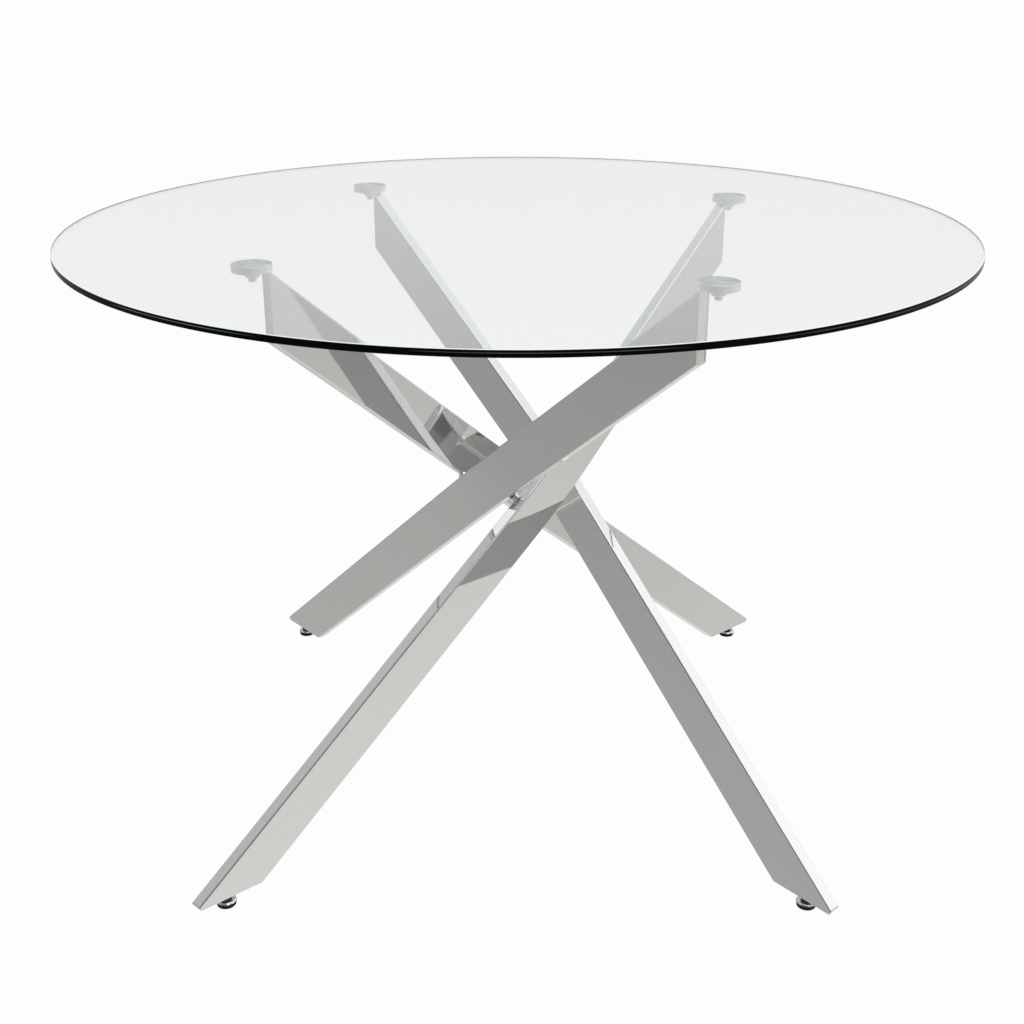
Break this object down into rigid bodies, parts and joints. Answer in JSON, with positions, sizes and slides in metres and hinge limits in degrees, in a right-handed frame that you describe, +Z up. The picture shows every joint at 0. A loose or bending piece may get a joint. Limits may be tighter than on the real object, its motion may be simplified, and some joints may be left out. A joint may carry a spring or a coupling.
{
  "type": "round glass dining table",
  "caption": "Round clear glass dining table on four flat chromed legs that cross and bend slightly near the middle, with bonded discs under the glass and levelling feet.",
  "frame": {"origin": "on the floor under the middle of the round top", "axes": "+Z up; the feet lie on the diagonals between +X and +Y; -Y is the side seen first"},
  "size_m": [1.0998, 1.1, 0.75],
  "materials": {
    "glass": "clear float glass with polished dark green edge",
    "chrome": "mirror chrome plate",
    "aluminium": "spun face, satin side",
    "steel": "zinc plated",
    "rubber": "black matte"
  },
  "bodies": {
    "frame": {"glass_top": "glass", "leg_a": "chrome", "leg_cap_a": "chrome", "foot_plate_a": "steel", "bracket_a": "chrome", "disc_a": "aluminium", "washer_a": "chrome", "screw_a": "chrome", "leg_b": "chrome", "leg_cap_b": "chrome", "foot_plate_b": "steel", "bracket_b": "chrome", "disc_b": "aluminium", "washer_b": "chrome", "screw_b": "chrome", "leg_c": "chrome", "leg_cap_c": "chrome", "foot_plate_c": "steel", "bracket_c": "chrome", "disc_c": "aluminium", "washer_c": "chrome", "screw_c": "chrome", "leg_d": "chrome", "leg_cap_d": "chrome", "foot_plate_d": "steel", "bracket_d": "chrome", "disc_d": "aluminium", "washer_d": "chrome", "screw_d": "chrome", "joint_ab": "chrome", "joint_bc": "chrome", "joint_cd": "chrome", "joint_da": "chrome"},
    "foot_a_pad": {"foot_pad_a": "rubber"},
    "foot_a_stem": {"foot_collar_a": "chrome", "foot_stem_a": "steel"},
    "foot_b_pad": {"foot_pad_b": "rubber"},
    "foot_b_stem": {"foot_collar_b": "chrome", "foot_stem_b": "steel"},
    "foot_c_pad": {"foot_pad_c": "rubber"},
    "foot_c_stem": {"foot_collar_c": "chrome", "foot_stem_c": "steel"},
    "foot_d_pad": {"foot_pad_d": "rubber"},
    "foot_d_stem": {"foot_collar_d": "chrome", "foot_stem_d": "steel"}
  },
  "joints": [
    {"name": "foot_a_height", "type": "slide", "parent": "frame", "child": "foot_a_pad", "axis": [0, 0, -1], "range_m": [0, 0.008]},
    {"name": "foot_a_turn", "type": "hinge", "parent": "foot_a_pad", "child": "foot_a_stem", "pos_m": [-0.34952, 0.34952, 0], "axis": [0, 0, -1], "range_deg": [0, 2300]},
    {"name": "foot_b_height", "type": "slide", "parent": "frame", "child": "foot_b_pad", "axis": [0, 0, -1], "range_m": [0, 0.008]},
    {"name": "foot_b_turn", "type": "hinge", "parent": "foot_b_pad", "child": "foot_b_stem", "pos_m": [-0.34952, -0.34952, 0], "axis": [0, 0, -1], "range_deg": [0, 2300]},
    {"name": "foot_c_height", "type": "slide", "parent": "frame", "child": "foot_c_pad", "axis": [0, 0, -1], "range_m": [0, 0.008]},
    {"name": "foot_c_turn", "type": "hinge", "parent": "foot_c_pad", "child": "foot_c_stem", "pos_m": [0.34952, -0.34952, 0], "axis": [0, 0, -1], "range_deg": [0, 2300]},
    {"name": "foot_d_height", "type": "slide", "parent": "frame", "child": "foot_d_pad", "axis": [0, 0, -1], "range_m": [0, 0.008]},
    {"name": "foot_d_turn", "type": "hinge", "parent": "foot_d_pad", "child": "foot_d_stem", "pos_m": [0.34952, 0.34952, 0], "axis": [0, 0, -1], "range_deg": [0, 2300]}
  ],
  "couplings": [
    {"joint": "foot_a_height", "follows": "foot_a_turn", "m_per_rad": 0.00019894},
    {"joint": "foot_b_height", "follows": "foot_b_turn", "m_per_rad": 0.00019894},
    {"joint": "foot_c_height", "follows": "foot_c_turn", "m_per_rad": 0.00019894},
    {"joint": "foot_d_height", "follows": "foot_d_turn", "m_per_rad": 0.00019894}
  ]
}
